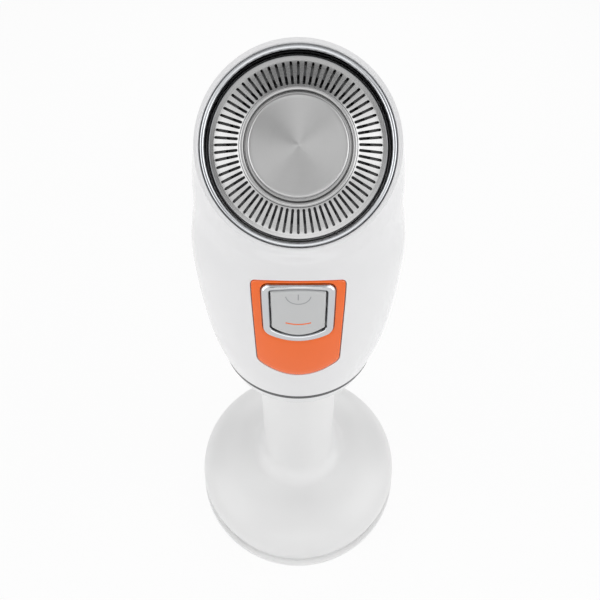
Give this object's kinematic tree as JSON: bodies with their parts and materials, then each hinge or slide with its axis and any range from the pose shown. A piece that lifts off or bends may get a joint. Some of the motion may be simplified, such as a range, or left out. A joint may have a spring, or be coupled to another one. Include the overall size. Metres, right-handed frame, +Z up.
{
  "type": "hand steamer",
  "caption": "Small electric steamer standing on a weighted bell foot, with an angled round head, a slotted stainless steam plate, a power rocker and a rear water filler.",
  "frame": {"origin": "centre of the foot's flat underside", "axes": "+Z up along the stem; the steam head and the switch face -Y; +X to the right as seen from the front"},
  "size_m": [0.12, 0.1224, 0.2617],
  "materials": {
    "foot_pad": "matt non-slip rubber",
    "foot_base": "satin moulded ABS",
    "base_screw_1": "zinc plated",
    "base_screw_2": "zinc plated",
    "base_screw_3": "zinc plated",
    "base_screw_4": "zinc plated",
    "counterweight": "as cast",
    "pedestal": "satin moulded ABS",
    "cord_gland": "soft PVC",
    "tie_tube": "zinc plated",
    "tie_nut_lower": "zinc plated",
    "tie_nut_upper": "zinc plated",
    "neck_collar": "glossy moulded ABS",
    "trim_ring": "dark grey moulded plastic",
    "front_housing": "high-gloss moulded ABS",
    "rear_housing": "high-gloss moulded ABS",
    "housing_screw_1": "zinc plated",
    "housing_screw_2": "zinc plated",
    "housing_screw_3": "zinc plated",
    "housing_screw_4": "zinc plated",
    "bezel_ring": "bright chrome plating",
    "plate_gasket": "black silicone",
    "steam_plate": "pressed stainless steel",
    "centre_disc": "spun stainless steel",
    "disc_nut": "zinc plated",
    "steam_chamber": "die cast",
    "heating_element": "sheathed rod",
    "heat_shield": "pressed sheet",
    "thermostat": "moulded phenolic",
    "thermal_fuse": "drawn case",
    "fascia": "glossy orange",
    "switch_frame": "bright chrome plating",
    "rocker_button": "light grey",
    "switch_body": "light grey nylon",
    "water_tank": "milky polypropylene",
    "cap_seal": "black silicone",
    "filler_cap": "glossy moulded ABS",
    "water_pump": "dark grey housing",
    "suction_hose": "translucent silicone",
    "feed_hose": "translucent silicone",
    "terminal_block": "light grey nylon",
    "inner_lead": "black PVC"
  },
  "bodies": {
    "body": {"foot_pad": "foot_pad", "foot_base": "foot_base", "base_screw_1": "base_screw_1", "base_screw_2": "base_screw_2", "base_screw_3": "base_screw_3", "base_screw_4": "base_screw_4", "counterweight": "counterweight", "pedestal": "pedestal", "cord_gland": "cord_gland", "tie_tube": "tie_tube", "tie_nut_lower": "tie_nut_lower", "tie_nut_upper": "tie_nut_upper", "neck_collar": "neck_collar", "trim_ring": "trim_ring", "front_housing": "front_housing", "rear_housing": "rear_housing", "housing_screw_1": "housing_screw_1", "housing_screw_2": "housing_screw_2", "housing_screw_3": "housing_screw_3", "housing_screw_4": "housing_screw_4", "bezel_ring": "bezel_ring", "plate_gasket": "plate_gasket", "steam_plate": "steam_plate", "centre_disc": "centre_disc", "disc_nut": "disc_nut", "steam_chamber": "steam_chamber", "heating_element": "heating_element", "heat_shield": "heat_shield", "thermostat": "thermostat", "thermal_fuse": "thermal_fuse", "fascia": "fascia", "switch_frame": "switch_frame", "switch_body": "switch_body", "water_tank": "water_tank", "cap_seal": "cap_seal", "water_pump": "water_pump", "suction_hose": "suction_hose", "feed_hose": "feed_hose", "terminal_block": "terminal_block", "inner_lead": "inner_lead"},
    "rocker": {"rocker_button": "rocker_button"},
    "cap": {"filler_cap": "filler_cap"}
  },
  "joints": [
    {"name": "rocker_tilt", "type": "hinge", "parent": "body", "child": "rocker", "pos_m": [0, -0.02937, 0.1894], "axis": [1, 0, 0], "range_deg": [-5, 5]},
    {"name": "cap_turn", "type": "hinge", "parent": "body", "child": "cap", "pos_m": [0, 0.042, 0.186], "axis": [0, 1, 0], "range_deg": [0, 90]}
  ]
}
